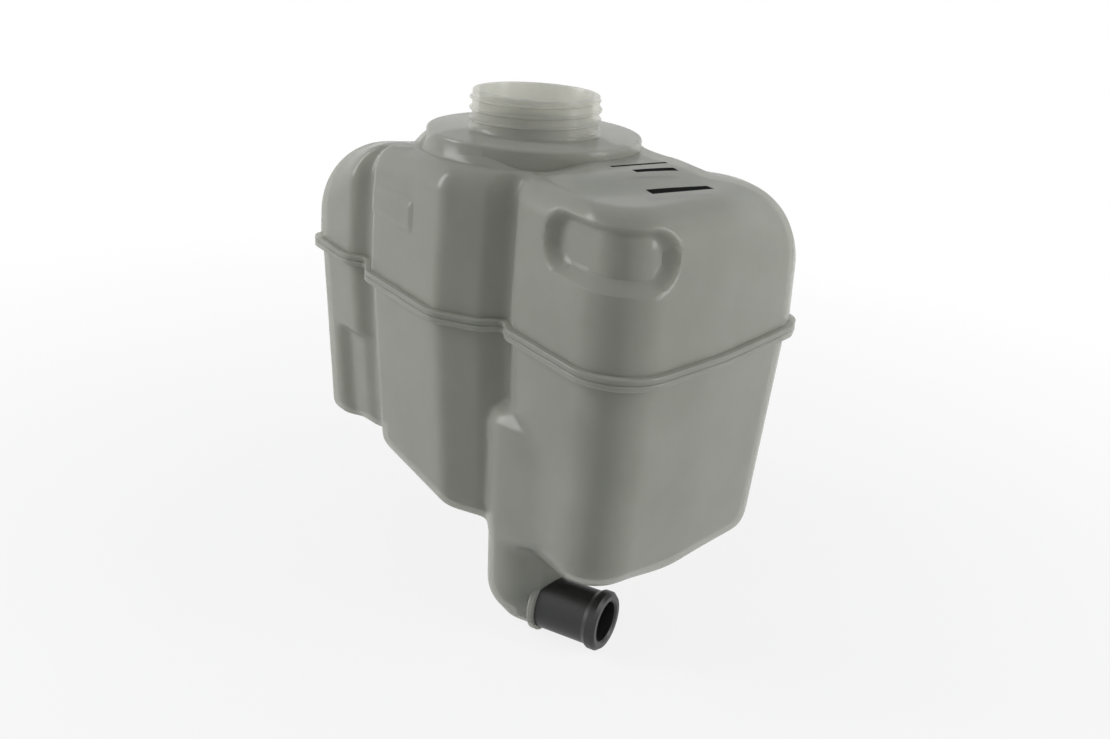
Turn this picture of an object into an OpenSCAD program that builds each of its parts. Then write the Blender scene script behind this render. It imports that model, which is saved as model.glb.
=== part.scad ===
// Coolant expansion tank in moulded translucent plastic, with a lobed outline and an open screw neck.
// Origin: centre of the neck's rim. +Z: up along the neck. +X: along the tank, towards the hose spigot.
// +Y: towards the back wall.

/* [Filler neck] */
// Outside diameter of the neck tube
neck_od = 50; // [46:0.5:54]
// Bore of the neck
neck_bore = 44.5; // [38:0.5:45]
// Height of the neck above the round collar
neck_h = 15; // [12:0.5:20]
// Diameter of the round collar under the neck
collar_d = 85; // [80:0.5:86]
// Height of the collar's side above the roof
collar_h = 4; // [3:0.5:6]

/* [Walls] */
// Wall of both mouldings
wall = 2.5; // [2:0.1:3]
// Draft of the upper moulding's walls, in degrees
upper_draft = 1.5; // [0.5:0.1:2.5]
// Draft of the lower moulding's walls, in degrees
lower_draft = 4; // [3:0.1:5]

/* [Outline at the weld] */
// Neck axis to the left end wall
left_end = 98; // [92:1:105]
// Neck axis to the front wall of the left lobe
left_front = 50; // [49:0.5:54]
// Neck axis to the front wall of the middle lobe
mid_front = 52; // [51:0.5:58]
// Neck axis to the front wall of the right lobe
right_front = 35.5; // [33:0.5:40]
// Neck axis to the back wall
back_wall = 75; // [68:1:90]
// Neck axis to the right wall, where it meets the front wall
right_near = 111; // [104:0.5:120]
// How far the right wall bulges between its two ends
right_bulge = 3; // [1:0.5:5]
// Neck axis to the right wall, where it meets the back wall
right_far = 83; // [74:0.5:90]
// Neck axis to the shallow valley between the left and middle lobes
valley_at = 54.5; // [52:0.5:57]
// Depth of that valley
valley_deep = 6.5; // [4:0.5:8]
// Neck axis to the left edge of the right lobe
right_lobe_at = 47; // [45:0.5:50]

/* [Heights] */
// Neck rim down to the weld between the two mouldings
weld_down = 80; // [74:1:90]
// Neck rim down to the roof of the middle and right lobes
roof_down = 22.5; // [20.5:0.5:26]
// Neck rim down to the roof of the left lobe
left_roof_down = 29.5; // [27:0.5:33]
// Neck rim down to the floor of the left lobe
left_floor_down = 161; // [150:0.5:163]
// Neck rim down to the floor of the middle lobe
floor_down = 166.5; // [160:0.5:168]
// Neck rim down to the floor of the right lobe
right_floor_down = 171; // [169:1:173]

/* [Weld flange] */
// How far the flange stands out from the wall
flange_out = 2.6; // [2:0.1:4]
// Thickness of each moulding's flange
flange_t = 2.4; // [2:0.1:3]
// Step from the upper moulding's wall in to the lower one's
flange_step = 0.8; // [0.5:0.1:1.5]

/* [Recess round the right lobe's near corner] */
// Depth of the recess
recess_deep = 5; // [3:0.5:7]
// Neck rim down to the middle of the recess
recess_down = 38.5; // [37:0.5:40]
// Height of the recess
recess_h = 23; // [20:0.5:25]
// Neck axis to the recess's start on the front wall
recess_start = 62.5; // [60:0.5:70]
// Neck axis to the recess's end on the right wall, towards the front
recess_end = 7; // [5:0.5:15]

/* [Pad on the middle lobe] */
// Width of the raised pad
pad_w = 34; // [26:1:36]
// Height of the raised pad
pad_h = 12; // [8:0.5:14]
// How far the pad stands out of the wall
pad_out = 0.8; // [0.5:0.1:1.2]
// Neck rim down to the middle of the pad
pad_down = 47; // [42:1:60]

/* [Hanger pocket on the left end] */
// Width of the slot that the bracket's tongue enters
slot_w = 44; // [30:1:50]
// Thickness of the slot
slot_t = 4.2; // [4:0.1:5]
// Depth of the slot
slot_h = 26; // [18:1:28]
// Wall round the slot
pocket_wall = 2.8; // [2:0.1:3.5]

/* [Ledge under the left lobe's right corner] */
// Neck rim down to the ledge
ledge_down = 116; // [112:0.5:120]
// How far the wall steps in below the ledge
ledge_in = 4; // [3:0.5:6]

/* [Leg and hose spigot] */
// Neck axis to the leg's axis, along the tank
leg_x = 41.5; // [40:0.5:45]
// Neck axis to the leg's axis, towards the front
leg_y = 18; // [16:0.5:21]
// Outside diameter of the leg at its round foot
leg_d = 32.5; // [29:0.5:34]
// How far the bulge runs along the right lobe's front wall
leg_fair = 27; // [16:1:30]
// Neck rim down to the spigot's axis
spigot_down = 196; // [193:0.5:198]
// Leg's axis to the spigot's axis, towards the front
spigot_side = 3.5; // [0:0.5:4]
// Turn of the spigot from the tank's length towards the back, in degrees
spigot_turn = 27; // [20:1:35]
// Outside diameter of the spigot
spigot_od = 22; // [19:0.1:23]
// Bore of the spigot
spigot_bore = 16.4; // [13:0.1:17]
// Spigot length from the boss's face to its end
spigot_len = 27; // [20:0.5:35]
// Leg's axis to the face of the boss round the spigot
boss_reach = 12.5; // [10:0.5:15]

/* [Level float] */
// Neck axis to the sensor well, towards the back
well_y = 14; // [8:1:20]
// Outside diameter of the dry well
well_od = 16; // [14:0.5:18]
// Height of the dry well above the floor
well_h = 46; // [42:1:56]
// Outside diameter of the float
float_od = 36; // [30:0.5:40]
// Height of the float
float_h = 18; // [14:0.5:20]
// Running gap round the well
float_gap = 0.8; // [0.6:0.1:1.2]

/* [Hidden] */
$fn = 96;
natural = [0.86, 0.87, 0.83, 0.8];

collar_r = collar_d / 2;
plateau = -(neck_h + collar_h);
ring_r = collar_r - wall;
weld_z = -weld_down;
spigot_r = spigot_od / 2;
root_r = (spigot_bore / 2 + spigot_r) / 2;
root_at = 4;
root_wall = 1.3;
boss_r = spigot_r + 1.4;
boss_w = 2.8;
seat = boss_reach - boss_w + 0.4;
seat_play = 0.05;
leg_r = leg_d / 2;
leg_draft = 1.7;
fair_back = 4.5;
fair_step = 0.6;
fair_blend = 2;
foot_z = -spigot_down + 6;
shoulder_r = 8;
leg_top_down = ledge_down - 4;
well_x = 4;
pad_right = 4;
retainer_h = 3;
magnet_h = 5;
magnet_w = 3.6;
magnet_play = 0.05;

// Corners of the outline, counter-clockwise from above. Each holds x, y, the radius in plan, the roof's
// shoulder radius, the depth of the roof and of the floor's fillet, and the spacing of points after it.
X = 0;
Y = 1;
RADIUS = 2;
SHOULDER = 3;
ROOF = 4;
FOOT = 5;
SPACING = 6;
coarse = 20;
medium = 7;
close = 4;
fine = 3;
corners = [
    [-left_end, -left_front, 5, 36, left_roof_down + 2, 4, medium],
    [-valley_at - 9, -left_front, 8, 19, left_roof_down - 1, 8, coarse],
    [-valley_at, -left_front + valley_deep, 6, 15, left_roof_down - 2, 8, coarse],
    [-valley_at + 16.5, -mid_front, 8, 11, roof_down + 2, 8, coarse],
    [17, -mid_front, 9, 10, roof_down, 7, coarse],
    [32.5, -mid_front + 11, 7, 9, roof_down, 7, close],
    [36.5, -right_front + 5, 5, 9, roof_down, 6, close],
    [right_lobe_at, -right_front, 7, 10, roof_down, 10, fine],
    [right_near, -right_front, 19, 13, roof_down, 18, fine],
    [(right_near + right_far) / 2 + right_bulge, (back_wall - right_front) / 2, 150, 13, roof_down, 9, coarse],
    [right_far + 2.5, back_wall - 9, 9, 26, roof_down, 8, coarse],
    [right_far - 4.5, back_wall, 9, 36, roof_down, 8, coarse],
    [-left_end, back_wall, 22, 36, left_roof_down + 2, 10, coarse]
];
ARC_STEP = 20;
NEAR_STEP = 8;
spine = 30;

function unit(v) = v / norm(v);
function plan(p) = [p[0], p[1]];
function clamp01(t) = min(1, max(0, t));
function smooth(t) = let (c = clamp01(t)) c * c * (3 - 2 * c);
function mix(a, b, t) = a + (b - a) * t;
function spin(v, a) = [v[0] * cos(a) - v[1] * sin(a), v[0] * sin(a) + v[1] * cos(a)];
function cyclic(list, i) = list[(i + len(list)) % len(list)];

// The arc that rounds corner b between a and c: each point is x, y, its outward normal and b's own values
function corner_arc(a, b, c) =
    let (
        d1 = unit(plan(b) - plan(a)),
        d2 = unit(plan(c) - plan(b)),
        turn = atan2(d1[0] * d2[1] - d1[1] * d2[0], d1 * d2),
        side = turn > 0 ? 1 : -1,
        n1 = [d1[1], -d1[0]],
        start = plan(b) - d1 * b[RADIUS] * tan(abs(turn) / 2),
        centre = start - side * b[RADIUS] * n1,
        steps = max(2, ceil(abs(turn) / (b[SPACING] == fine ? NEAR_STEP : ARC_STEP)))
    )
    [for (k = [0:steps]) let (n = spin(n1, turn * k / steps), p = centre + side * b[RADIUS] * n)
        [p[0], p[1], b[RADIUS], b[SHOULDER], b[ROOF], b[FOOT], n[0], n[1]]];

// The points that divide the straight edge between two arcs
function edge_points(p, q, spacing) =
    let (count = ceil(norm(plan(q) - plan(p)) / spacing))
    [for (k = [1:1:count - 1]) mix(p, q, k / count)];

arcs = [for (i = [0:len(corners) - 1]) corner_arc(cyclic(corners, i - 1), corners[i], cyclic(corners, i + 1))];
outline = [
    for (i = [0:len(corners) - 1])
        let (arc = arcs[i], next = cyclic(arcs, i + 1))
        each concat(arc, edge_points(arc[len(arc) - 1], next[0], corners[i][SPACING]))
];

// A point of the outline, moved out along its normal
function out_by(v, d) = [v[0] + v[6] * d, v[1] + v[7] * d];
// A point in plan, moved in towards the nearest point of a short spine along the tank
function in_by(p, d) = p + d * unit([min(spine, max(-spine, p[0])), 0] - p);
function at_z(p, z) = [p[0], p[1], z];

// How much of the recess's depth a wall point has: a band round the near corner with round ends
recess_a = [recess_start + recess_h / 2, -right_front];
recess_b = [right_near - 3, -recess_end - recess_h / 2];
function recess_share(p, z) =
    let (
        between = p[0] > recess_a[0] && p[1] < recess_b[1],
        along = between ? 0 : min(norm(p - recess_a), abs(p[1] - recess_b[1]) + (p[0] > recess_a[0] ? 0 : recess_h)),
        off = norm([along, z + recess_down])
    )
    p[0] > recess_start - recess_h ? smooth((recess_h / 2 - off) / 7) : 0;

// A point of the upper moulding's wall or shoulder. skin is 0 for the outside and the wall for the inside.
function upper_point(v, lift, angle, skin) =
    let (
        base = out_by(v, -skin),
        roof = -v[ROOF] - skin,
        high = v[SHOULDER] - skin,
        foot = skin > 0 ? weld_z : weld_z + flange_t,
        z = mix(foot, roof - high, lift) + high * sin(angle),
        drafted = in_by(base, (z - weld_z) * tan(upper_draft)),
        deep = min(high, norm(drafted) - collar_r - 1 + skin / 2),
        dent = recess_deep * recess_share(plan(v), z),
        p = in_by(drafted, deep * (1 - cos(angle))) - dent * [v[6], v[7]]
    )
    at_z(p, z);

// Where the groove beside the right lobe meets the collar: the roof steps up sharply there, so the
// inside stays low under it
collar_corner = (collar_r + 2.5) * unit([38.5, -right_front + 11.8]);

// A point of the roof: share 1 is the end of the shoulder and share 0 the ring under the collar
function roof_point(v, share, skin) =
    let (
        end = upper_point(v, 1, 90, skin),
        ring = ring_r * unit(unit(plan(v)) + unit(plan(end))),
        room = norm(plan(end) - ring),
        right = clamp01(0.4 + end[0] / 60),
        flat_w = min(mix(3, 18, right), room * 0.45),
        fall_w = min(mix(32, 24, right), room * 0.55),
        rise = 1 - smooth((share * room + skin * 0.6 - flat_w) / fall_w),
        p = mix(ring, plan(end), share),
        low = skin > 0 ? smooth(norm(p - collar_corner) / 10 - 0.3) : 1
    )
    at_z(p, mix(end[2], plateau - skin, rise * low));

// The levels crowd together at the recess and round the shoulder. Both skins have the same ones, which
// keeps the wall even between them.
lifts = [0, 0.6, 0.665, 0.73, 0.795, 0.86, 0.93];
angles = [0, 12, 24, 36, 48, 62, 76, 90];
function upper_rings(skin) =
    concat(
        [for (lift = lifts) [for (v = outline) upper_point(v, lift, 0, skin)]],
        [for (angle = angles) [for (v = outline) upper_point(v, 1, angle, skin)]],
        [for (share = roof_shares) [for (v = outline) roof_point(v, share, skin)]]
    );
roof_shares = [0.72, 0.46, 0.22, 0];
function reversed(list) = [for (i = [len(list) - 1:-1:0]) list[i]];
function flat_ring(out, z) = [for (v = outline) at_z(out_by(v, out), z)];

// Triangles between ring i and ring j, facing out when the rings run up the outside. Each four-sided
// patch is split along its shorter diagonal.
function band(rings, i, j) =
    let (n = len(rings[0]), low = rings[i], high = rings[j])
    [
        for (k = [0:n - 1])
            let (
                k2 = (k + 1) % n,
                a = i * n + k,
                b = i * n + k2,
                c = j * n + k2,
                d = j * n + k
            )
            each norm(high[k2] - low[k]) <= norm(high[k] - low[k2]) ? [[a, c, b], [a, d, c]] : [[a, d, b], [b, d, c]]
    ];

// A tube-like shell: the rings close on themselves
module ring_shell(rings) {
    polyhedron(
        points = [for (ring = rings) each ring],
        faces = [for (i = [0:len(rings) - 1]) each band(rings, i, (i + 1) % len(rings))],
        convexity = 8
    );
}

// A solid skin: the rings run up the outside, and a point closes each end
module ring_solid(rings, low, high) {
    n = len(rings[0]);
    last = (len(rings) - 1) * n;
    polyhedron(
        points = concat([for (ring = rings) each ring], [low, high]),
        faces = concat(
            [for (i = [0:len(rings) - 2]) each band(rings, i, i + 1)],
            [for (k = [0:n - 1]) [k, (k + 1) % n, last + n]],
            [for (k = [0:n - 1]) [last + (k + 1) % n, last + k, last + n + 1]]
        ),
        convexity = 8
    );
}

module upper_moulding() {
    ring_shell(concat(
        [flat_ring(flange_out, weld_z), flat_ring(flange_out, weld_z + flange_t)],
        upper_rings(0),
        reversed(upper_rings(wall))
    ));
}

// The neck tube and the round collar under it, turned in one
module neck() {
    neck_r = neck_od / 2;
    bore_r = neck_bore / 2;
    collar_foot = min(plateau - wall - 0.8, mix(-roof_down - 2, plateau, 0.4));
    rotate_extrude()
        polygon([
            [bore_r, 0], [neck_r - 0.6, 0], [neck_r, -0.6], [neck_r, -neck_h + 1.5], [neck_r + 1.5, -neck_h],
            [collar_r - 1.2, -neck_h], [collar_r, -neck_h - 1.2], [collar_r, collar_foot],
            [ring_r - 1, collar_foot], [ring_r - 1, -neck_h - wall], [bore_r, -neck_h - wall]
        ]);
}

// The raised pad on the middle lobe's front wall
module pad() {
    set_in = (weld_down - pad_down) * tan(upper_draft);
    translate([-pad_right - pad_w, -mid_front + set_in - pad_out, -pad_down - pad_h / 2])
        cube([pad_w, pad_out + wall / 2, pad_h]);
}

// Half way into the end wall at a height, from the shoulder's curve at the left end
function end_wall(z) =
    let (
        shoulder = corners[0][SHOULDER],
        up = clamp01((z + corners[0][ROOF] + shoulder) / shoulder),
        inset = (z - weld_z) * tan(upper_draft) + shoulder * (1 - sqrt(1 - up * up))
    )
    -left_end + inset + wall / 2;

// The pocket on the left end that hangs on a bracket's tongue, open at the bottom
module hanger_pocket() {
    low = weld_z + flange_t;
    top = low + slot_h + pocket_wall;
    wide = slot_w + 2 * pocket_wall;
    plate = left_end + flange_out + slot_t;
    difference() {
        rotate([90, 0, 0])
            translate([0, 0, -wide / 2])
                linear_extrude(wide)
                    polygon(concat(
                        [[-plate - pocket_wall, top], [-plate - pocket_wall, low - 0.5]],
                        [for (z = [low - 0.5:(top - low + 0.5) / 5:top + 0.1]) [end_wall(z), z]]
                    ));
        translate([-plate, -slot_w / 2, low - 1])
            cube([slot_t + flange_out, slot_w, slot_h + 1]);
    }
}

module upper_shell() {
    color(natural) {
        upper_moulding();
        neck();
        pad();
        hanger_pocket();
    }
}

// Height of the floor: it slopes down from the left lobe to the leg, and steps down to the right lobe
function floor_at(x) =
    -mix(left_floor_down, floor_down, clamp01((x + 45) / 75))
    - mix(0, right_floor_down - floor_down, smooth((x - 34) / 16));

// How far the front wall steps in below the ledge of the left lobe
function ledge_step(p, z) =
    ledge_in * smooth((p[0] + left_end - 13) / 8) * (1 - smooth((p[0] + valley_at + 8) / 10))
    * (p[1] < 0 ? smooth((1.5 - ledge_down - z) / 3) : 0);

// Radius of the leg's column at a height: drafted, with a quarter-round shoulder at its top
function leg_radius(z, skin) =
    let (
        top = -leg_top_down - shoulder_r,
        side = leg_r + (min(z, top) - foot_z) * tan(leg_draft) - skin,
        r = shoulder_r - skin,
        over = clamp01((z - top) / r)
    )
    side - r + r * sqrt(1 - over * over);

// How far forward the leg stands at x: its column, stretched along the right lobe's front above the floor
function leg_front(x, z, skin) =
    let (
        stretch = smooth((z + right_floor_down - 1) / 14),
        fair = leg_fair * stretch,
        past = x - leg_x,
        across = past < 0 ? -past : max(0, past - fair),
        r = leg_radius(z, skin) + fair_step
    )
    across < r ? -leg_y + fair_back * stretch * clamp01(past / leg_fair) - sqrt(r * r - across * across) : back_wall;

// The lesser of two values, with a soft change from one to the other
function soft_min(a, b, width) =
    let (h = clamp01(0.5 + (b - a) / (2 * width)))
    mix(b, a, h) - width / 2 * h * (1 - h);

// A front wall point, moved forward to where the leg's column bulges the wall
function leg_bulge(p, z, skin) =
    p[0] > leg_x - leg_r && p[1] < 0 && z <= -leg_top_down - skin && z < -leg_top_down
        ? [p[0], soft_min(p[1], leg_front(p[0], z, skin), fair_blend)]
        : p;

// Points of the lower moulding's wall, of the fillet at its foot and of its floor
function wall_point(v, z, inset, skin) =
    let (
        base = out_by(v, -flange_step - skin),
        p = in_by(base, (weld_z - z) * tan(lower_draft) + inset) + [0, ledge_step(plan(v), z)]
    )
    at_z(leg_bulge(p, z, skin), z);
function foot_point(v, angle, skin) =
    let (foot = max(1, v[FOOT] - skin), z = floor_at(v[0]) + skin + foot * (1 - sin(angle)))
    wall_point(v, z, foot * (1 - cos(angle)), skin);
function floor_point(v, share, skin) =
    let (end = plan(foot_point(v, 90, skin)), p = mix([min(spine, max(-spine, end[0])), 0], end, share))
    at_z(p, floor_at(p[0]) + skin);

foot_angles = [0, 22, 45, 68, 90];
floor_shares = [0.75, 0.55, 0.35];

function lower_rings(skin) = reversed(concat(
    [for (z = [weld_z - (skin > 0 ? 0 : flange_t), for (step = [-4, -1.5, 0, 1.5, 4]) -ledge_down - step])
        [for (v = outline) wall_point(v, z, 0, skin)]],
    [for (angle = foot_angles) [for (v = outline) foot_point(v, angle, skin)]],
    [for (share = floor_shares) [for (v = outline) floor_point(v, share, skin)]]
));

module trough_outside() {
    ring_solid(
        concat(lower_rings(0), [flat_ring(flange_out, weld_z - flange_t), flat_ring(flange_out, weld_z)]),
        [0, 0, floor_at(0)],
        [0, 0, weld_z]
    );
}

module trough_inside() {
    ring_solid(
        concat(lower_rings(wall), [flat_ring(-flange_step - wall, weld_z + 1)]),
        [0, 0, floor_at(0) + wall],
        [0, 0, weld_z + 1]
    );
}

// The leg's column and its round foot, from inside the trough down
module leg(skin) {
    foot_r = leg_r - skin;
    top = -floor_down + 16;
    translate([leg_x, -leg_y, 0])
        rotate_extrude()
            polygon(concat(
                [[0, top]],
                [for (a = [-90:15:0]) [foot_r * cos(a), foot_z + foot_r * sin(a)]],
                [[leg_radius(top, skin), top]]
            ));
}

// Places children with +Z along the spigot, from the leg's axis
module at_spigot() {
    translate([leg_x, -leg_y, -spigot_down])
        rotate([0, 90, spigot_turn])
            translate([0, -spigot_side, 0])
                children();
}

// The housing round the spigot's root, with the boss at its mouth, and the stepped bore in both
module spigot_housing() {
    housing_r = root_r + root_wall;
    at_spigot()
        rotate_extrude()
            polygon(concat(
                [for (a = [-90:15:0]) [housing_r * cos(a), root_at / 2 + housing_r * sin(a)]],
                [[housing_r, boss_reach - boss_w], [boss_r, boss_reach - boss_w], [boss_r, boss_reach], [0, boss_reach]]
            ));
}

module spigot_socket() {
    at_spigot()
        rotate_extrude()
            polygon([
                [0, root_at - 1], [root_r + seat_play, root_at - 1], [root_r + seat_play, seat],
                [spigot_r + seat_play, seat], [spigot_r + seat_play, spigot_len], [0, spigot_len]
            ]);
}

well_foot = floor_at(well_x);
well_top = well_foot + well_h;
float_base = floor_at(well_x - float_od / 2) + wall + 0.3;

module sensor_well() {
    translate([well_x, well_y, well_foot + wall / 2])
        cylinder(d = well_od, h = well_h - wall / 2);
}

module lower_shell() {
    color(natural)
        difference() {
            union() {
                difference() {
                    union() {
                        trough_outside();
                        leg(0);
                        spigot_housing();
                    }
                    trough_inside();
                    leg(wall);
                }
                sensor_well();
            }
            spigot_socket();
            translate([well_x, well_y, well_foot - 2])
                cylinder(d = well_od - 2 * wall, h = well_h + 2 - wall);
        }
}

module hose_spigot() {
    bore_r = spigot_bore / 2;
    bead_r = spigot_r + 1.15;
    end = boss_reach + spigot_len;
    color([0.2, 0.2, 0.2])
        at_spigot()
            rotate_extrude()
                polygon([
                    [bore_r, root_at], [root_r, root_at], [root_r, seat + seat_play],
                    [spigot_r, seat + seat_play], [spigot_r, end - 6], [bead_r, end - 4], [bead_r, end - 1.4],
                    [bead_r - 1.2, end], [bore_r + 0.8, end], [bore_r, end - 0.8]
                ]);
}

groove_in = well_od / 2 + 2.4;
groove_out = groove_in + magnet_w;

module level_float() {
    edge = min(2, (float_od / 2 - groove_out) / 2);
    color([0.75, 0.75, 0.72])
        translate([well_x, well_y, float_base])
            rotate_extrude()
                polygon([
                    [well_od / 2 + float_gap, 0], [float_od / 2 - edge, 0], [float_od / 2, edge],
                    [float_od / 2, float_h - edge], [float_od / 2 - edge, float_h],
                    [groove_out, float_h], [groove_out, float_h - magnet_h],
                    [groove_in, float_h - magnet_h], [groove_in, float_h],
                    [well_od / 2 + float_gap, float_h]
                ]);
}

module float_magnet() {
    color([0.25, 0.25, 0.27])
        translate([well_x, well_y, float_base + float_h - magnet_h])
            difference() {
                cylinder(r = groove_out - magnet_play, h = magnet_h - 0.4);
                translate([0, 0, -1])
                    cylinder(r = groove_in + magnet_play, h = magnet_h + 2);
            }
}

// The cap that is pushed over the well's top and stops the float
module float_retainer() {
    color([0.8, 0.8, 0.78])
        translate([well_x, well_y, well_top - retainer_h])
            difference() {
                cylinder(d = well_od + 7, h = retainer_h + 1.5);
                translate([0, 0, -1])
                    cylinder(r = well_od / 2 + 0.05, h = retainer_h + 1);
            }
}

upper_shell();
lower_shell();
hose_spigot();
level_float();
float_magnet();
float_retainer();
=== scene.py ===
"""Looks of the coolant expansion tank: two moulded shells of translucent polypropylene with a lobed
outline and a threaded neck, around a dark hose spigot and a level float. Sizes are millimetres until
they enter a mesh."""

import math

import bpy
import numpy as np
from mathutils import Matrix, Vector


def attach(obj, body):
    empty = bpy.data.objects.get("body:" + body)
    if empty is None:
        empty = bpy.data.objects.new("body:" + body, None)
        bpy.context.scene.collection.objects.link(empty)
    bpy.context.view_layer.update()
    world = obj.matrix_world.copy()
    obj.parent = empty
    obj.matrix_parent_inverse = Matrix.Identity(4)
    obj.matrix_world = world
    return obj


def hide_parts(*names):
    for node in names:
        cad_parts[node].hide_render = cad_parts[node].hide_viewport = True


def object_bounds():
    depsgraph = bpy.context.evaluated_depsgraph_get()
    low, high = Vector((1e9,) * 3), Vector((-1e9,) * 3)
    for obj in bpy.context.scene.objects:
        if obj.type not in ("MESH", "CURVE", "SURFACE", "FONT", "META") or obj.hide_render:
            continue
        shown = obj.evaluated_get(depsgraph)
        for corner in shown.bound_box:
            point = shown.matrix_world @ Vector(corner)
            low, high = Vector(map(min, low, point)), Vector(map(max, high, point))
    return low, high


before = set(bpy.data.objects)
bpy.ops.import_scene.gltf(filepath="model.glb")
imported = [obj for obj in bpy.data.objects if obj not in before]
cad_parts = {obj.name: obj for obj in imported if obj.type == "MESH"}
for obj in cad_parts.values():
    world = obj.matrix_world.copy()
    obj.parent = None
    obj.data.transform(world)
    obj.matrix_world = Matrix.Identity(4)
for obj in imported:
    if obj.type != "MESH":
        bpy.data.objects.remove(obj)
cad_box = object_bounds()

MM = 0.001

# Filler neck and round collar
NECK_R = 25.0
BORE_R = 22.25
NECK_H = 15.0
COLLAR_R = 42.5
COLLAR_H = 4.0
THREAD_PITCH = 4.0
THREAD_HIGH = 1.05
THREAD_LOW = -14.3
THREAD_TOP = -1.2
THREAD_ROWS = 90
COLLAR_EDGE = 1.2
COLLAR_ROOT = 4.5
NECK_FILLET = 1.5
RIM_EDGE = 0.6
BORE_LOW = -45.0

# Walls and heights, down from the neck's rim
WALL = 2.5
UPPER_DRAFT = math.radians(1.5)
LOWER_DRAFT = math.radians(4)
WELD = -80.0
PLATEAU = -(NECK_H + COLLAR_H)
RING_R = COLLAR_R - WALL
ROOF = 22.5
LEFT_ROOF = 29.5
LEFT_FLOOR = 161.0
MID_FLOOR = 166.5
RIGHT_FLOOR = 171.0
FLANGE_OUT = 2.6
FLANGE_T = 2.4
FLANGE_STEP = 0.8
FLANGE_EDGE = 0.5
SPINE = 30.0

# Roof of the left end and of the right end: how far it is level, and how far it falls
ROOF_FLAT = (3, 18)
ROOF_FALL = (32, 24)

# Places of the walls from the neck's axis
LEFT_END = 98.0
LEFT_FRONT = 50.0
MID_FRONT = 52.0
RIGHT_FRONT = 35.5
BACK = 75.0
RIGHT_NEAR = 111.0
RIGHT_BULGE = 3.0
RIGHT_FAR = 83.0
VALLEY = 54.5
VALLEY_DEEP = 6.5
RIGHT_LOBE = 47.0

# Recess, pad, ledge and hanger pocket
RECESS_DEEP = 5.0
RECESS_DOWN = 38.5
RECESS_H = 23.0
RECESS_START = 62.5
RECESS_END = 7.0
RECESS_EDGE = 4.5
PAD = (-38.0, -4.0, -53.0, -41.0)
PAD_OUT = 0.8
PAD_EDGE = 1.0
LEDGE_DOWN = 116.0
LEDGE_IN = 4.0
SLOT_W = 44.0
SLOT_T = 4.2
SLOT_H = 26.0
POCKET_WALL = 2.8
POCKET_EDGE = 1.4

# Leg, spigot and sensor well
LEG = np.array([41.5, -18.0])
LEG_R = 16.25
LEG_TOP = 4.0 - LEDGE_DOWN
LEG_DRAFT = math.tan(math.radians(1.7))
LEG_FAIR = np.array([27.0, 4.5])
FAIR_STEP = 0.6
FAIR_BLEND = 2.0
SHOULDER_R = 8.0
SPIGOT_Z = -196.0
FOOT_Z = SPIGOT_Z + 6
SPIGOT_SIDE = 3.5
SPIGOT_TURN = math.radians(27)
SPIGOT_R = 11.0
BOSS_REACH = 12.5
BOSS_W = 2.8
BOSS_R = SPIGOT_R + 1.4
BOSS_EDGE = 0.6
ROOT_R = 9.6
ROOT_AT = 4.0
HOUSING_R = ROOT_R + 1.3
SEAT = BOSS_REACH - BOSS_W + 0.4
SEAT_PLAY = 0.05
WELL = np.array([4.0, 14.0])
WELL_R = 8.0
WELL_H = 46.0

# Grain of the meshes: spacing of the outline and rows of a skin, outside and inside
OUTSIDE_STEP = 1.4
INSIDE_STEP = 3.0
UPPER_ROWS = (30, 14)
LOWER_ROWS = (8, 5)
MELT_VOXEL = 1.3
MELT_ROUNDS = 10

# A revolved profile starts at this radius, and a ball at this angle, just off the axis
AXIS_R = 0.5
BALL_START = -math.pi / 2 + 0.08

# Plain printed bars on the right lobe's roof: centre, then size along x and y
PRINT_BARS = [(51.0, 13.5, 2.0, 26.0), (59.5, 14.5, 3.2, 19.5), (77.5, 12.0, 4.2, 28.0)]

# Camera: the photograph's own roll
ROLL = math.radians(-4.05)

# Where the groove beside the right lobe meets the collar, and the ring round it that lifts the roof
GROOVE_END = np.array([38.5, 11.8 - RIGHT_FRONT])
COLLAR_CORNER = (COLLAR_R + 2.5) * GROOVE_END / math.hypot(*GROOVE_END)
CORNER_LOW = 3
CORNER_RISE = 18

# Corners of the outline: x, y, radius, shoulder radius, depth of the roof, radius at the foot
CORNERS = np.array([
    [-LEFT_END, -LEFT_FRONT, 5, 36, LEFT_ROOF + 2, 4],
    [-VALLEY - 9, -LEFT_FRONT, 8, 19, LEFT_ROOF - 1, 8],
    [-VALLEY, -LEFT_FRONT + VALLEY_DEEP, 6, 15, LEFT_ROOF - 2, 8],
    [-VALLEY + 16.5, -MID_FRONT, 8, 11, ROOF + 2, 8],
    [17, -MID_FRONT, 9, 10, ROOF, 7],
    [32.5, -MID_FRONT + 11, 7, 9, ROOF, 7],
    [36.5, -RIGHT_FRONT + 5, 5, 9, ROOF, 6],
    [RIGHT_LOBE, -RIGHT_FRONT, 7, 10, ROOF, 10],
    [RIGHT_NEAR, -RIGHT_FRONT, 19, 13, ROOF, 18],
    [(RIGHT_NEAR + RIGHT_FAR) / 2 + RIGHT_BULGE, (BACK - RIGHT_FRONT) / 2, 150, 13, ROOF, 9],
    [RIGHT_FAR + 2.5, BACK - 9, 9, 26, ROOF, 8],
    [RIGHT_FAR - 4.5, BACK, 9, 36, ROOF, 8],
    [-LEFT_END, BACK, 22, 36, LEFT_ROOF + 2, 10],
])


def clamp01(t):
    """t, held between 0 and 1."""
    return np.clip(t, 0, 1)


def smooth(t):
    """The cubic 3t2 - 2t3, which goes from 0 to 1 with level ends."""
    c = clamp01(t)
    return c * c * (3 - 2 * c)


def mix(a, b, t):
    """The point at share t on the way from a to b."""
    return a + (b - a) * t


def unit(v):
    """Vectors divided by their lengths."""
    return v / np.linalg.norm(v, axis=-1, keepdims=True)


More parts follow.
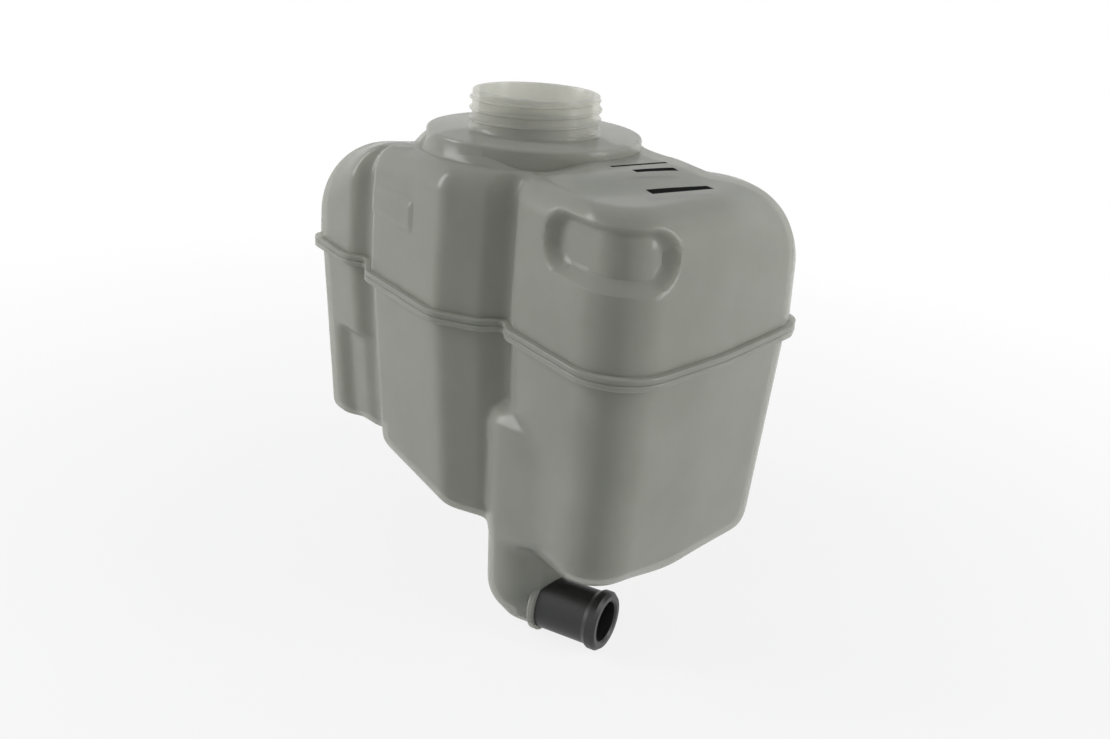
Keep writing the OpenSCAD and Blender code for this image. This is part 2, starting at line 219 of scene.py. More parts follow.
def outline(step):
    """Points of the tank's outline with about step mm between them. Each row holds x, y, the outward
    normal and the shoulder, roof and foot values. A corner is an arc of its radius, tangent to both
    sides. The values go in a straight line along each side, then a bell curve blurs them along the ring."""
    rows = []
    count = len(CORNERS)
    arcs = []
    for i in range(count):
        a, b, c = CORNERS[i - 1], CORNERS[i], CORNERS[(i + 1) % count]
        d1, d2 = unit(b[:2] - a[:2]), unit(c[:2] - b[:2])
        turn = math.atan2(d1[0] * d2[1] - d1[1] * d2[0], d1 @ d2)
        side = math.copysign(1, turn)
        n1 = np.array([d1[1], -d1[0]])
        centre = b[:2] - d1 * b[2] * math.tan(abs(turn) / 2) - side * b[2] * n1
        t = np.linspace(0, turn, max(5, math.ceil(abs(turn) * b[2] / step) + 1))
        n = np.stack([n1[0] * np.cos(t) - n1[1] * np.sin(t), n1[0] * np.sin(t) + n1[1] * np.cos(t)], 1)
        p = centre + side * b[2] * n
        arcs.append(np.hstack([p, n, np.tile(b[3:], (len(t), 1))]))
    for i in range(count):
        start, end = arcs[i][-1], arcs[(i + 1) % count][0]
        steps = max(1, math.ceil(np.linalg.norm(end[:2] - start[:2]) / step))
        t = np.linspace(0, 1, steps + 1)[1:-1, None]
        rows += [arcs[i], mix(start, end, t)]
    ring = np.vstack(rows)
    reach = np.arange(-12, 13)
    weight = np.exp(-0.5 * (reach / 5) ** 2)
    weight = weight / weight.sum()
    ring[:, 4:] = sum(w * np.roll(ring[:, 4:], r, 0) for w, r in zip(weight, reach))
    return ring


def in_by(p, d):
    """Points in plan moved by d towards the nearest point of the short spine along the tank."""
    aim = np.stack([np.clip(p[..., 0], -SPINE, SPINE), np.zeros(p.shape[:-1])], -1)
    return p + unit(aim - p) * np.expand_dims(d, -1)


def recess_share(p, z):
    """Share of the recess's depth: a band of even height round the near corner, with round ends."""
    a = np.array([RECESS_START + RECESS_H / 2, -RIGHT_FRONT])
    b = np.array([RIGHT_NEAR - 3, -RECESS_END - RECESS_H / 2])
    before = np.linalg.norm(p - a, axis=-1)
    after = np.abs(p[..., 1] - b[1]) + np.where(p[..., 0] > a[0], 0, RECESS_H)
    along = np.where((p[..., 0] > a[0]) & (p[..., 1] < b[1]), 0, np.minimum(before, after))
    off = np.hypot(along, z + RECESS_DOWN)
    share = smooth((RECESS_H / 2 - off) / RECESS_EDGE)
    return np.where(p[..., 0] > RECESS_START - RECESS_H, share, 0)


def pad_share(p, z):
    """Share of the raised pad on the middle lobe's front: a rectangle with soft edges."""
    left, right, low, high = PAD
    across = smooth((p[..., 0] - left) / PAD_EDGE) * smooth((right - p[..., 0]) / PAD_EDGE)
    down = smooth((z - low) / PAD_EDGE) * smooth((high - z) / PAD_EDGE)
    return across * down * (p[..., 1] < -MID_FRONT + 3)


def upper_point(v, lift, angle, skin):
    """Wall and shoulder of the upper moulding. lift goes from the flange up to the shoulder's foot, and
    the shoulder is a quarter ellipse over angle, whose width stops short of the round collar."""
    base = v[:, :2] - skin * v[:, 2:4]
    roof = -v[:, 5] - skin
    high = v[:, 4] - skin
    foot = WELD if skin > 0 else WELD + FLANGE_T
    z = mix(foot, roof - high, lift) + high * np.sin(angle)
    drafted = in_by(base, (z - WELD) * math.tan(UPPER_DRAFT))
    deep = np.minimum(high, np.linalg.norm(drafted, axis=-1) - COLLAR_R - 1 + skin / 2)
    dent = RECESS_DEEP * recess_share(v[:, :2], z)
    if skin == 0:
        dent = dent - PAD_OUT * pad_share(v[:, :2], z)
    p = in_by(drafted, deep * (1 - np.cos(angle))) - dent[:, None] * v[:, 2:4]
    return np.column_stack([p, z])


def roof_point(v, share, skin):
    """Roof between the shoulder's top, at share 1, and the ring under the collar, at share 0. It is level
    near the collar, then falls to the shoulder's top in a smooth step. It stays low where the groove
    beside the right lobe meets the collar."""
    end = upper_point(v, 1.0, math.pi / 2, skin)
    ring = RING_R * unit(unit(v[:, :2]) + unit(end[:, :2]))
    room = np.linalg.norm(end[:, :2] - ring, axis=-1)
    right = clamp01(0.4 + end[:, 0] / 60)
    flat_w = np.minimum(mix(*ROOF_FLAT, right), room * 0.45)
    fall_w = np.minimum(mix(*ROOF_FALL, right), room * 0.55)
    rise = 1 - smooth((share * room + skin * 0.6 - flat_w) / fall_w)
    p = mix(ring, end[:, :2], share)
    rise = rise * smooth((np.linalg.norm(p - COLLAR_CORNER, axis=-1) - CORNER_LOW) / CORNER_RISE)
    return np.column_stack([p, mix(end[:, 2], PLATEAU - skin, rise)])


def upper_skin(v, skin, rows):
    """Rings of the upper moulding's skin from the weld to the ring under the collar."""
    walls = [upper_point(v, lift, 0.0, skin) for lift in np.linspace(0, 1, rows)]
    shoulder = [upper_point(v, 1.0, a, skin) for a in np.linspace(0, math.pi / 2, rows)[1:]]
    roof = [roof_point(v, s, skin) for s in np.linspace(1, 0, rows)[1:]]
    return np.array(walls + shoulder + roof)


def floor_at(x):
    """Height of the floor at x: it slopes down under the middle lobe and steps down to the right lobe."""
    slope = clamp01((x + 45) / 75)
    return -mix(LEFT_FLOOR, MID_FLOOR, slope) - (RIGHT_FLOOR - MID_FLOOR) * smooth((x - 34) / 16)


def ledge_step(p, z):
    """How far the left lobe's front steps in below the ledge, between its round end and the valley."""
    across = smooth((p[..., 0] + LEFT_END - 13) / 8) * (1 - smooth((p[..., 0] + VALLEY + 8) / 10))
    return LEDGE_IN * across * smooth((1.5 - LEDGE_DOWN - z) / 3) * (p[..., 1] < 0)


def leg_radius(z, skin):
    """Radius of the leg's column at a height: drafted, with a quarter-round shoulder at the top."""
    top = LEG_TOP - SHOULDER_R
    side = LEG_R + (np.minimum(z, top) - FOOT_Z) * LEG_DRAFT - skin
    r = SHOULDER_R - skin
    over = clamp01((z - top) / r)
    return side - r + r * np.sqrt(1 - over ** 2)


def leg_front(x, z, skin):
    """How far forward the leg stands at x: a half circle, stretched along the right lobe's front."""
    stretch = smooth((z + RIGHT_FLOOR - 1) / 14)
    past = x - LEG[0]
    across = np.where(past < 0, -past, np.maximum(0, past - LEG_FAIR[0] * stretch))
    r = leg_radius(z, skin) + FAIR_STEP
    middle = LEG[1] + LEG_FAIR[1] * stretch * clamp01(past / LEG_FAIR[0])
    return np.where(across < r, middle - np.sqrt(np.maximum(0, r * r - across ** 2)), BACK)


def soft_min(a, b, width):
    """The lesser of two values, with a quadratic blend where they are within width of each other."""
    h = clamp01(0.5 + (b - a) / (2 * width))
    return mix(b, a, h) - width / 2 * h * (1 - h)


def leg_bulge(p, z, skin):
    """Front wall points, moved forward to where the leg's column bulges the wall."""
    here = (p[:, 0] > LEG[0] - LEG_R) & (p[:, 1] < 0) & (z <= LEG_TOP - skin)
    y = np.where(here, soft_min(p[:, 1], leg_front(p[:, 0], z, skin), FAIR_BLEND), p[:, 1])
    return np.column_stack([p[:, 0], y, z])


def wall_point(v, z, inset, skin):
    """Wall of the lower moulding, drafted in towards the spine with depth."""
    z = np.broadcast_to(z, len(v))
    base = v[:, :2] - (FLANGE_STEP + skin) * v[:, 2:4]
    p = in_by(base, (WELD - z) * math.tan(LOWER_DRAFT) + inset)
    p[:, 1] += ledge_step(v[:, :2], z)
    return leg_bulge(p, z, skin)


def lower_skin(v, skin, rows, top):
    """Rings of the lower moulding's skin, from the middle of the floor up to top: the floor shrinks
    towards the spine, and a quarter circle joins it to the wall."""
    foot = np.maximum(1, v[:, 6] - skin)
    base = floor_at(v[:, 0]) + skin
    angles = np.linspace(math.pi / 2, 0, rows)
    fillet = [wall_point(v, base + foot * (1 - np.sin(a)), foot * (1 - np.cos(a)), skin) for a in angles]
    end = fillet[0][:, :2]
    middle = np.column_stack([np.clip(end[:, 0], -SPINE, SPINE), np.zeros(len(v))])
    floor = []
    for share in np.linspace(0.1, 1, 3 * rows)[:-1]:
        p = mix(middle, end, share)
        floor.append(np.column_stack([p, floor_at(p[:, 0]) + skin]))
    start = base + foot
    walls = [wall_point(v, mix(start, top, t), 0, skin) for t in np.linspace(0, 1, 6 * rows)[1:]]
    return np.array(floor + fillet + walls)


def ring_faces(rings, around, loop):
    """Four-sided faces between neighbouring rings of a grid. loop joins the last ring to the first."""
    i = np.arange(rings if loop else rings - 1)[:, None]
    k = np.arange(around)[None, :]
    low, high = i * around, (i + 1) % rings * around
    right = (k + 1) % around
    return np.stack([low + k, low + right, high + right, high + k], -1).reshape(-1, 4)


def solid(name, *bodies):
    """A mesh of closed bodies. Each body's rings run up the outside, with a flat face over each end."""
    points, faces, start = [], [], 0
    for rings in bodies:
        count, around = rings.shape[:2]
        end = start + count * around
        faces += (ring_faces(count, around, False) + start).tolist()
        faces += [list(range(start, start + around))[::-1], list(range(end - around, end))]
        points.append(rings.reshape(-1, 3) * MM)
        start = end
    return new_piece(name, np.vstack(points), faces)


def tube(name, rings):
    """A closed ring-shaped mesh whose last ring joins its first."""
    count, around = rings.shape[:2]
    return new_piece(name, rings.reshape(-1, 3) * MM, ring_faces(count, around, True).tolist())


def new_piece(name, points, faces):
    """A mesh object in the scene, from points in metres and faces."""
    mesh = bpy.data.meshes.new(name)
    mesh.from_pydata(points.tolist(), [], faces)
    mesh.validate()
    piece = bpy.data.objects.new(name, mesh)
    bpy.context.scene.collection.objects.link(piece)
    return piece


def applied(piece):
    """The piece's modifiers applied to its mesh."""
    graph = bpy.context.evaluated_depsgraph_get()
    mesh = bpy.data.meshes.new_from_object(piece.evaluated_get(graph))
    old = piece.data
    piece.modifiers.clear()
    piece.data = mesh
    bpy.data.meshes.remove(old)
    return piece


def combine(piece, other, how):
    """piece with other united to it or cut from it. The other mesh is used up."""
    change = piece.modifiers.new(how, "BOOLEAN")
    change.operation = how
    change.solver = "MANIFOLD"
    change.object = other
    applied(piece)
    bpy.data.objects.remove(other)
    return piece


def melted(piece, voxel, rounds):
    """Overlapping solids melted into one skin of even grain, then smoothed so that creases turn into
    the soft blends of a moulding."""
    grain = piece.modifiers.new("grain", "REMESH")
    grain.mode = "VOXEL"
    grain.voxel_size = voxel * MM
    soft = piece.modifiers.new("soft", "SMOOTH")
    soft.factor = 0.5
    soft.iterations = rounds
    return applied(piece)


def revolved(profile, around, thread=None):
    """Rings of a profile of radius and height turned about +Z. thread gives the radius added at an angle
    and height."""
    angle = np.linspace(0, 2 * math.pi, around, endpoint=False)
    r, z = profile[:, :1] + 0 * angle, profile[:, 1:] + 0 * angle
    if thread:
        r = r + thread(angle[None, :], z)
    return np.stack([r * np.cos(angle), r * np.sin(angle), z], -1)


def placed(rings, matrix):
    """Rings moved by a 4x4 matrix in millimetres."""
    m = np.array(matrix)
    return rings @ m[:3, :3].T + m[:3, 3]


def turned(name, profile, around, matrix):
    """A profile of radius and height turned about +Z, then moved by a matrix."""
    return solid(name, placed(revolved(np.array(profile), around), matrix))


def rod(r, low, high):
    """The profile of a plain round rod."""
    return [[AXIS_R, low], [r, low], [r, high], [AXIS_R, high]]


def block(name, low, high):
    """A plain box between two corners."""
    x0, y0, z0 = low
    x1, y1, z1 = high
    square = np.array([[x0, y0], [x1, y0], [x1, y1], [x0, y1]])
    return solid(name, np.array([np.column_stack([square, np.full(4, z)]) for z in (z0, z1)]))


def hanger_pocket():
    """The pocket on the left end that hangs on a bracket's tongue. Each level is a rectangle with two
    round corners, from the end wall out, and the top edge is a quarter round."""
    low = WELD + FLANGE_T
    top = low + SLOT_H + POCKET_WALL
    plate = -LEFT_END - FLANGE_OUT - SLOT_T
    half = SLOT_W / 2 + POCKET_WALL
    r = POCKET_EDGE
    bend, roof = CORNERS[0, 3:5]
    turn = np.linspace(math.pi, math.pi / 2, 7)
    edge = top - r + r * np.sin(np.linspace(0, math.pi / 2, 6))[1:]
    rings = []
    for z in np.concatenate([np.linspace(low - 0.5, top - r, 24), edge]):
        over = max(0.0, z - top + r)
        inset = r - math.sqrt(r * r - over * over)
        up = float(clamp01((z + roof + bend) / bend))
        wall = -LEFT_END + (z - WELD) * math.tan(UPPER_DRAFT) + bend * (1 - math.sqrt(1 - up * up)) + WALL / 2
        outer = plate - POCKET_WALL + inset + r + r * np.cos(turn)
        arc = np.column_stack([outer, half - inset - r + r * np.sin(turn)])
        side = np.vstack([arc, [wall, half - inset]])
        rings.append(np.column_stack([np.vstack([side * [1, -1], side[::-1]]), np.full(2 * len(side), z)]))
    pocket = solid("pocket", np.array(rings))
    slot = block("slot", (plate, -SLOT_W / 2, low - 1), (-LEFT_END, SLOT_W / 2, low + SLOT_H))
    return combine(pocket, slot, "DIFFERENCE")


def flange_ring(v, low, high):
    """The weld flange of one moulding: a rectangle with rounded outer edges carried round the outline."""
    r = FLANGE_EDGE
    cut = r * 0.3
    section = [(-WALL, low), (FLANGE_OUT - r, low), (FLANGE_OUT - cut, low + cut), (FLANGE_OUT, low + r),
               (FLANGE_OUT, high - r), (FLANGE_OUT - cut, high - cut), (FLANGE_OUT - r, high), (-WALL, high)]
    rings = [np.column_stack([v[:, :2] + out * v[:, 2:4], np.full(len(v), z)]) for out, z in section]
    return tube("flange", np.array(rings))


def thread_ridge(angle, z):
    """A rounded ridge that climbs one pitch each turn and fades out at both ends."""
    turn = (z / THREAD_PITCH - angle / (2 * math.pi)) % 1
    ridge = smooth(1.5 - np.abs(turn - 0.5) * 8)
    return THREAD_HIGH * ridge * smooth((z - THREAD_LOW) / 1.5) * smooth((THREAD_TOP - z) / 1.2)


def neck_profile():
    """The collar and the neck from under the collar up to the rim, as radius and height."""
    turn = np.linspace(0, math.pi / 2, 6)
    r = COLLAR_EDGE
    collar = [[COLLAR_R - r + r * math.cos(a), -NECK_H - r + r * math.sin(a)] for a in turn]
    r = NECK_FILLET
    fillet = [[NECK_R + r - r * math.sin(a), -NECK_H + r - r * math.cos(a)] for a in turn]
    side = [[NECK_R, z] for z in np.linspace(1.6 - NECK_H, -0.7, THREAD_ROWS)]
    r = RIM_EDGE
    rim = [[NECK_R - r + r * math.cos(a), -r + r * math.sin(a)] for a in turn]
    low = [[AXIS_R, PLATEAU - COLLAR_ROOT], [COLLAR_R, PLATEAU - COLLAR_ROOT]]
    return np.array(low + collar + fillet + side + rim + [[AXIS_R, 0]])


def make_upper_shell():
    """The outer skin, with the flange, the threaded neck and the hanger pocket united to it, less the
    inner skin and the neck's bore."""
    fine, plain = outline(OUTSIDE_STEP), outline(INSIDE_STEP)
    rows, inside_rows = UPPER_ROWS
    shell = solid("upper_moulding", upper_skin(fine, 0, rows))
    shell = combine(shell, flange_ring(fine, WELD, WELD + FLANGE_T), "UNION")
    shell = combine(shell, solid("neck", revolved(neck_profile(), 192, thread_ridge)), "UNION")
    shell = combine(shell, hanger_pocket(), "UNION")
    inside = upper_skin(plain, WALL, inside_rows)
    below = inside[:1] - [0, 0, 1]
    shell = combine(shell, solid("cavity", np.vstack([below, inside])), "DIFFERENCE")
    bore = revolved(np.array([[BORE_R, BORE_LOW], [BORE_R, -1.0], [BORE_R + 0.5, 1.0]]), 128)
    shell = combine(shell, solid("bore", bore), "DIFFERENCE")
    shell.name = "upper_shell_skin"
    return shell


def leg_rings(skin, around):
    """The leg: a round foot, then the drafted column up to inside the trough."""
    turn = np.linspace(BALL_START, 0, 14)
    foot = [[(LEG_R - skin) * math.cos(a), FOOT_Z + (LEG_R - skin) * math.sin(a)] for a in turn]
    heights = np.linspace(FOOT_Z, 16 - MID_FLOOR, 20)[1:]
    side = np.column_stack([leg_radius(heights, skin), heights])
    return revolved(np.vstack([foot, side]), around) + [LEG[0], LEG[1], 0]


def spigot_frame():
    """+Z along the spigot, from the leg's axis."""
    turned = Matrix.Rotation(SPIGOT_TURN, 4, "Z") @ Matrix.Rotation(math.pi / 2, 4, "Y")
    return Matrix.Translation((LEG[0], LEG[1], SPIGOT_Z)) @ turned @ Matrix.Translation((0, -SPIGOT_SIDE, 0))


def make_lower_shell():
    """The outer skin, the leg and the ball-ended housing of the spigot melted into one, with the boss,
    the flange and the dry well united to it, less the inner skin, the leg's inside, the well's bore and
    the spigot's stepped socket."""
    fine, plain = outline(OUTSIDE_STEP), outline(INSIDE_STEP)
    rows, inside_rows = LOWER_ROWS
    at_spigot = spigot_frame()
    turn = np.linspace(BALL_START, 0, 12)
    ball = [[HOUSING_R * math.cos(a), ROOT_AT / 2 + HOUSING_R * math.sin(a)] for a in turn]
    housing = placed(revolved(np.array(ball + [[HOUSING_R, BOSS_REACH - 0.5]]), 96), at_spigot)
    outside = solid("lower_moulding", lower_skin(fine, 0, rows, WELD + 8), leg_rings(0, 96), housing)
    shell = melted(outside, MELT_VOXEL, MELT_ROUNDS)
    low = BOSS_REACH - BOSS_W
    boss = [[AXIS_R, low], [BOSS_R, low], [BOSS_R, BOSS_REACH - BOSS_EDGE], [BOSS_R - BOSS_EDGE, BOSS_REACH],
            [AXIS_R, BOSS_REACH]]
    shell = combine(shell, turned("boss", boss, 96, at_spigot), "UNION")
    shell = combine(shell, block("above", (-200, -200, WELD), (200, 200, WELD + 60)), "DIFFERENCE")
    shell = combine(shell, flange_ring(fine, WELD - FLANGE_T, WELD), "UNION")
    cavity = solid("cavity", lower_skin(plain, WALL, inside_rows, WELD + 1))
    cavity = combine(cavity, solid("leg", leg_rings(WALL, 64)), "UNION")
    shell = combine(shell, cavity, "DIFFERENCE")
    low = float(floor_at(WELL[0]))
    at_well = Matrix.Translation((WELL[0], WELL[1], 0))
    well = rod(WELL_R, low + WALL / 2, low + WELL_H)
    shell = combine(shell, turned("well", well, 64, at_well), "UNION")
    bore = rod(WELL_R - WALL, low - 2, low + WELL_H - WALL)
    shell = combine(shell, turned("well_bore", bore, 64, at_well), "DIFFERENCE")
    wide, narrow, low, high = SPIGOT_R + SEAT_PLAY, ROOT_R + SEAT_PLAY, ROOT_AT - 1, 40.0
    socket = [[AXIS_R, low], [narrow, low], [narrow, SEAT], [wide, SEAT], [wide, high], [AXIS_R, high]]
    shell = combine(shell, turned("socket", socket, 96, at_spigot), "DIFFERENCE")
    shell.name = "lower_shell_skin"
    return shell


def linear(code):
    """A hex sRGB colour as linear red, green, blue and 1."""
    value = np.array([int(code[i:i + 2], 16) for i in (1, 3, 5)]) / 255
    low = value / 12.92
    high = ((value + 0.055) / 1.055) ** 2.4
    return (*np.where(value <= 0.04045, low, high).tolist(), 1.0)


def add(tree, kind, settings=None, inputs=None):
    """A node of that kind with its settings; inputs are values or sockets to link."""
    node = tree.nodes.new(kind)
    for name, value in (settings or {}).items():
        setattr(node, name, value)
    for name, value in (inputs or {}).items():
        if isinstance(value, bpy.types.NodeSocket):
            tree.links.new(value, node.inputs[name])
        else:
            node.inputs[name].default_value = value
    return node


def new_material(name):
    """A material with an empty node tree."""
    material = bpy.data.materials.new(name)
    material.use_nodes = True
    material.node_tree.nodes.clear()
    return material, material.node_tree


def print_mask(tree, place):
    """1 on the plain bars printed on the right lobe's roof, else 0. Each bar is a rectangle in plan,
    where the surface faces up."""
    total = 0.0
    for x, y, wide, long in PRINT_BARS:
        away = add(tree, "ShaderNodeVectorMath", {"operation": "SUBTRACT"}, {
            0: place.outputs["Object"], 1: (x * MM, y * MM, 0)})
        away = add(tree, "ShaderNodeVectorMath", {"operation": "ABSOLUTE"}, {0: away.outputs[0]})
        split = add(tree, "ShaderNodeSeparateXYZ", inputs={0: away.outputs[0]})
        across = add(tree, "ShaderNodeMath", {"operation": "LESS_THAN"}, {
            0: split.outputs["X"], 1: wide / 2 * MM})
        along = add(tree, "ShaderNodeMath", {"operation": "LESS_THAN"}, {
            0: split.outputs["Y"], 1: long / 2 * MM})
        bar = add(tree, "ShaderNodeMath", {"operation": "MULTIPLY"}, {
            0: across.outputs[0], 1: along.outputs[0]})
        total = add(tree, "ShaderNodeMath", {"operation": "ADD"}, {
            0: bar.outputs[0], 1: total}).outputs[0]
    look = add(tree, "ShaderNodeNewGeometry")
    up = add(tree, "ShaderNodeSeparateXYZ", inputs={0: look.outputs["Normal"]})
    top = add(tree, "ShaderNodeMath", {"operation": "GREATER_THAN"}, {0: up.outputs["Z"], 1: 0.8})
    return add(tree, "ShaderNodeMath", {"operation": "MULTIPLY"}, {
        0: total, 1: top.outputs[0]}).outputs[0]


def polypropylene(name, printed):
    """Natural polypropylene, injection moulded: milky and satin. Light scatters in the wall, and some passes
    straight through, which makes the wall look thin. More passes in the neck, and the neck's colour is also
    painted paler above the collar: a painted glow that stands for light shining through the neck from behind.
    A weak gloss lies over the outside, and none over the printed ink or the inside."""
    material, tree = new_material(name)
    place = add(tree, "ShaderNodeTexCoord")
    cloud = add(tree, "ShaderNodeTexNoise", inputs={
        "Vector": place.outputs["Object"], "Scale": 1 / (24 * MM), "Detail": 3.0})
    tint = add(tree, "ShaderNodeMix", {"data_type": "RGBA"}, {
        "Factor": cloud.outputs["Fac"], "A": linear("#a9aaa1"), "B": linear("#b8b9b1")})
    colour = tint.outputs["Result"]
    split = add(tree, "ShaderNodeSeparateXYZ", inputs={0: place.outputs["Object"]})
    neck = add(tree, "ShaderNodeMapRange", inputs={
        "Value": split.outputs["Z"], "From Min": -NECK_H * MM,
        "From Max": (3 - NECK_H) * MM}).outputs["Result"]
    # Painted glow: above the collar the neck's colour is pushed towards pale grey, standing in for light that
    # shines through the neck from behind
    colour = add(tree, "ShaderNodeMix", {"data_type": "RGBA"}, {
        "Factor": neck, "A": colour, "B": linear("#e6e6e1")}).outputs["Result"]
    clear = add(tree, "ShaderNodeMapRange", inputs={
        "Value": neck, "To Min": 0.42, "To Max": 0.68}).outputs["Result"]
    look = add(tree, "ShaderNodeNewGeometry")
    dull = look.outputs["Backfacing"]
    if printed:
        ink = print_mask(tree, place)
        dull = add(tree, "ShaderNodeMath", {"operation": "MAXIMUM"}, {0: dull, 1: ink}).outputs[0]
        colour = add(tree, "ShaderNodeMix", {"data_type": "RGBA"}, {
            "Factor": ink, "A": colour, "B": linear("#232322")}).outputs["Result"]
        bare = add(tree, "ShaderNodeMath", {"operation": "SUBTRACT"}, {0: 1.0, 1: ink})
        clear = add(tree, "ShaderNodeMath", {"operation": "MULTIPLY"}, {
            0: clear, 1: bare.outputs[0]}).outputs[0]
    grain = add(tree, "ShaderNodeTexNoise", inputs={
        "Vector": place.outputs["Object"], "Scale": 1 / (1.6 * MM), "Detail": 2.0})
    bump = add(tree, "ShaderNodeBump", inputs={
        "Height": grain.outputs["Fac"], "Strength": 0.05, "Distance": 0.1 * MM})
    normal = bump.outputs["Normal"]
    body = add(tree, "ShaderNodeBsdfPrincipled", inputs={
        "Base Color": colour, "Roughness": 0.5, "IOR": 1.49, "Specular IOR Level": 0.0,
        "Subsurface Weight": 0.6, "Subsurface Radius": (1.0, 1.0, 0.9), "Subsurface Scale": 7 * MM,
        "Normal": normal})
    through = add(tree, "ShaderNodeBsdfTransparent", inputs={"Color": linear("#e4e4dd")})
    both = add(tree, "ShaderNodeMixShader", inputs={
        "Fac": clear, 1: body.outputs["BSDF"], 2: through.outputs["BSDF"]})
    gloss = add(tree, "ShaderNodeBsdfAnisotropic", inputs={
        "Color": (1, 1, 1, 1), "Roughness": 0.17, "Normal": normal})
    mirror = add(tree, "ShaderNodeFresnel", inputs={"IOR": 1.49, "Normal": normal})
    shine = add(tree, "ShaderNodeMapRange", inputs={"Value": dull, "To Min": 0.45, "To Max": 0.0})
    mirror = add(tree, "ShaderNodeMath", {"operation": "MULTIPLY"}, {
        0: mirror.outputs[0], 1: shine.outputs["Result"]})
    skin = add(tree, "ShaderNodeMixShader", inputs={
        "Fac": mirror.outputs[0], 1: both.outputs[0], 2: gloss.outputs[0]})
    add(tree, "ShaderNodeOutputMaterial", inputs={"Surface": skin.outputs["Shader"]})
    return material


def plastic(name, code, roughness, code_2, scale):
    """An opaque moulded material: two near colours in a soft mottle of scale mm, and a fine bump."""
    material, tree = new_material(name)
    place = add(tree, "ShaderNodeTexCoord")
    mottle = add(tree, "ShaderNodeTexNoise", inputs={
        "Vector": place.outputs["Object"], "Scale": 1 / (scale * MM), "Detail": 4.0})
    tint = add(tree, "ShaderNodeMix", {"data_type": "RGBA"}, {
        "Factor": mottle.outputs["Fac"], "A": linear(code), "B": linear(code_2)})
    bump = add(tree, "ShaderNodeBump", inputs={
        "Height": mottle.outputs["Fac"], "Strength": 0.08, "Distance": 0.1 * MM})
    body = add(tree, "ShaderNodeBsdfPrincipled", inputs={
        "Base Color": tint.outputs["Result"], "Roughness": roughness, "IOR": 1.5,
        "Normal": bump.outputs["Normal"]})
    add(tree, "ShaderNodeOutputMaterial", inputs={"Surface": body.outputs["BSDF"]})
    return material


def dress(piece, material, sharp=35):
    """The material on the whole piece, shaded smooth between edges of more than sharp degrees. At 0 the
    piece keeps its own shading."""
    piece.data.materials.clear()
    piece.data.materials.append(material)
    if sharp:
        piece.data.polygons.foreach_set("use_smooth", np.ones(len(piece.data.polygons), bool))
        piece.data.set_sharp_from_angle(angle=math.radians(sharp))


def make_camera():
    """The photograph's camera: 397 mm to the right, 261 mm in front and 69 mm above the neck's rim,
    looking down by 21.3 degrees and rolled by 4 degrees."""
    data = bpy.data.cameras.new("camera")
    data.sensor_width = 36
    data.lens = 36 * 1200 / 1110
    camera = bpy.data.objects.new("camera", data)
    bpy.context.scene.collection.objects.link(camera)
    ahead = Vector((-0.763, 0.535, -0.363)).normalized()
    right = ahead.cross(Vector((0, 0, 1))).normalized()
    turned = Matrix.Rotation(ROLL, 3, ahead)
    right = turned @ right
    up = right.cross(ahead)
    camera.matrix_world = Matrix.Translation(Vector((397.4, -260.7, 69.4)) * MM) @ Matrix(
        (right, up, -ahead)).transposed().to_4x4()
    bpy.context.scene.camera = camera


def add_light(name, size, power, place, aim):
    """A soft rectangular lamp that faces a point."""
    data = bpy.data.lights.new(name, "AREA")
    data.shape = "RECTANGLE"
    data.size, data.size_y = size
    data.energy = power
    lamp = bpy.data.objects.new(name, data)
    bpy.context.scene.collection.objects.link(lamp)
    way = Vector(aim) - Vector(place)
    lamp.matrix_world = Matrix.Translation(place) @ way.to_track_quat("-Z", "Y").to_matrix().to_4x4()


def white_rays(tree):
    """1 for rays from the camera, from a mirror-like surface or through glass, else 0."""
    ray = add(tree, "ShaderNodeLightPath")
    seen = add(tree, "ShaderNodeMath", {"operation": "MAXIMUM"}, {
        0: ray.outputs["Is Camera Ray"], 1: ray.outputs["Is Glossy Ray"]})
    seen = add(tree, "ShaderNodeMath", {"operation": "MAXIMUM"}, {
        0: seen.outputs[0], 1: ray.outputs["Is Transmission Ray"]})
    return seen.outputs[0]


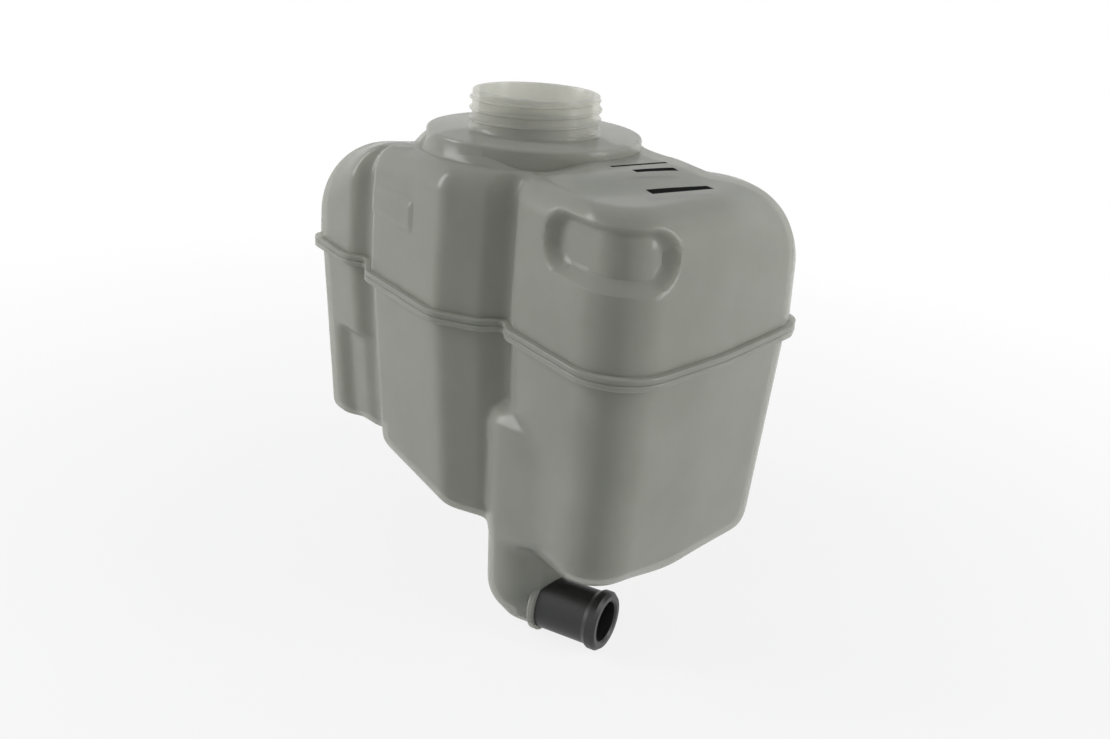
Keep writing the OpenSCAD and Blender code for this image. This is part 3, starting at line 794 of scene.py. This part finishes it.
def make_studio():
    """A pale floor under the leg, a white backdrop for the camera and soft light from large lamps. The
    floor keeps its shadow near the tank, and turns to the backdrop's white further out."""
    low = cad_box[0][2]
    half = 4.0
    corners = np.array([[-half, -half, low], [half, -half, low], [half, half, low], [-half, half, low]])
    floor = new_piece("floor", corners, [[0, 1, 2, 3]])
    material, tree = new_material("painted_floor")
    paint = add(tree, "ShaderNodeBsdfDiffuse", inputs={"Color": linear("#d6d6d6")})
    glow = add(tree, "ShaderNodeEmission", inputs={"Color": (1, 1, 1, 1), "Strength": 1.0})
    place = add(tree, "ShaderNodeTexCoord")
    far = add(tree, "ShaderNodeVectorMath", {"operation": "LENGTH"}, {0: place.outputs["Object"]})
    share = add(tree, "ShaderNodeMapRange", inputs={
        "Value": far.outputs["Value"], "From Min": 0.25, "From Max": 0.6, "To Min": 0.84, "To Max": 1.0})
    share = add(tree, "ShaderNodeMath", {"operation": "MULTIPLY"}, {
        0: share.outputs["Result"], 1: white_rays(tree)})
    both = add(tree, "ShaderNodeMixShader", inputs={
        "Fac": share.outputs[0], 1: paint.outputs[0], 2: glow.outputs[0]})
    add(tree, "ShaderNodeOutputMaterial", inputs={"Surface": both.outputs[0]})
    floor.data.materials.append(material)
    world = bpy.data.worlds.new("studio")
    bpy.context.scene.world = world
    world.use_nodes = True
    tree = world.node_tree
    tree.nodes.clear()
    plain = add(tree, "ShaderNodeBackground", inputs={"Color": linear("#e8ebee"), "Strength": 0.42})
    white = add(tree, "ShaderNodeBackground", inputs={"Color": (1, 1, 1, 1), "Strength": 1.0})
    both = add(tree, "ShaderNodeMixShader", inputs={
        "Fac": white_rays(tree), 1: plain.outputs[0], 2: white.outputs[0]})
    add(tree, "ShaderNodeOutputWorld", inputs={"Surface": both.outputs[0]})
    add_light("left", (0.5, 1.0), 10.5, (-0.8, -1.0, 0.4), (0, 0, -0.08))
    add_light("right", (0.5, 1.0), 9.0, (1.0, 0.8, 0.25), (0, 0, -0.1))


bpy.context.scene.view_settings.view_transform = "Standard"
make_camera()
make_studio()
natural = polypropylene("natural_polypropylene_moulded", False)
printed = polypropylene("natural_polypropylene_printed", True)
black = plastic("glass_filled_nylon_moulded", "#202020", 0.42, "#282828", 6)
upper = make_upper_shell()
lower = make_lower_shell()
for piece, node, material in ((upper, "upper_shell", printed), (lower, "lower_shell", natural)):
    dress(piece, material)
    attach(piece, "tank")
    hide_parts(node)
looks = {
    "hose_spigot": black,
    "level_float": plastic("closed_cell_foam", "#77776e", 0.7, "#85857c", 2),
    "float_magnet": plastic("sintered_ferrite", "#2a2a2c", 0.5, "#333336", 3),
    "float_retainer": plastic("white_nylon_moulded", "#c9c8c0", 0.4, "#d3d2ca", 8),
}
for node, material in looks.items():
    dress(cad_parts[node], material, 0)
